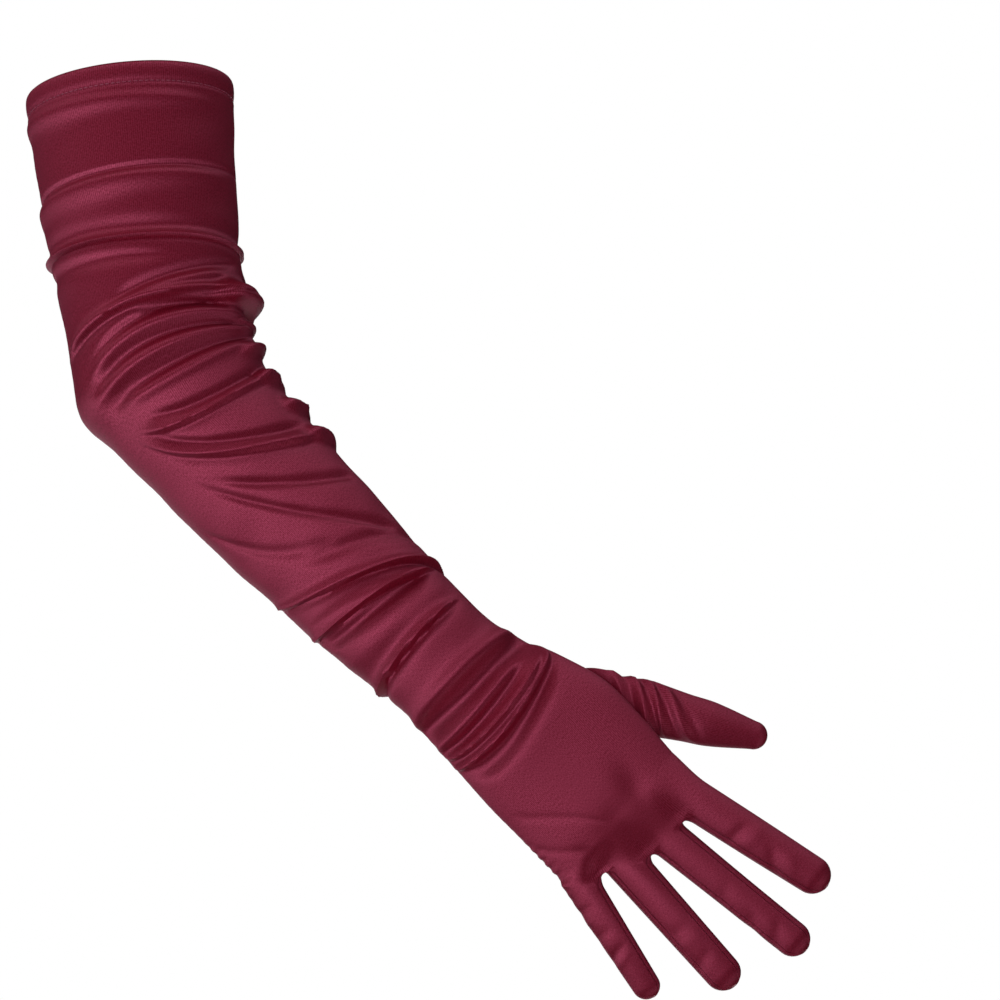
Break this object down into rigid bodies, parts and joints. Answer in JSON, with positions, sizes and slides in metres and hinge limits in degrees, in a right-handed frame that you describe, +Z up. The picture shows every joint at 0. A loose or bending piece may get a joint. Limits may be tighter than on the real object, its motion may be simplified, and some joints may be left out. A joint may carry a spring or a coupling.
{
  "type": "long satin glove",
  "caption": "Opera-length stretch satin glove for the right hand in its worn shape, open and hollow, with a bunched sleeve, gathered wrist, spread fingers and a turned hem.",
  "frame": {"origin": "the middle of the arm opening, in the plane of the hem's edge, where the glove is held", "axes": "+Z up, towards the arm opening from the hand; -Y is the side that the back of the hand faces; +X is the way that the forearm and the fingers run, so the thumb is on the +X and +Z side"},
  "size_m": [0.3642, 0.1176, 0.421],
  "materials": {
    "satin": "satin",
    "hem_satin": "satin"
  },
  "bodies": {
    "root": {"trank": "satin", "thumb": "satin", "fourchette_ring_little": "satin", "fourchette_middle_ring": "satin", "fourchette_index_middle": "satin", "hem": "hem_satin"}
  },
  "joints": []
}
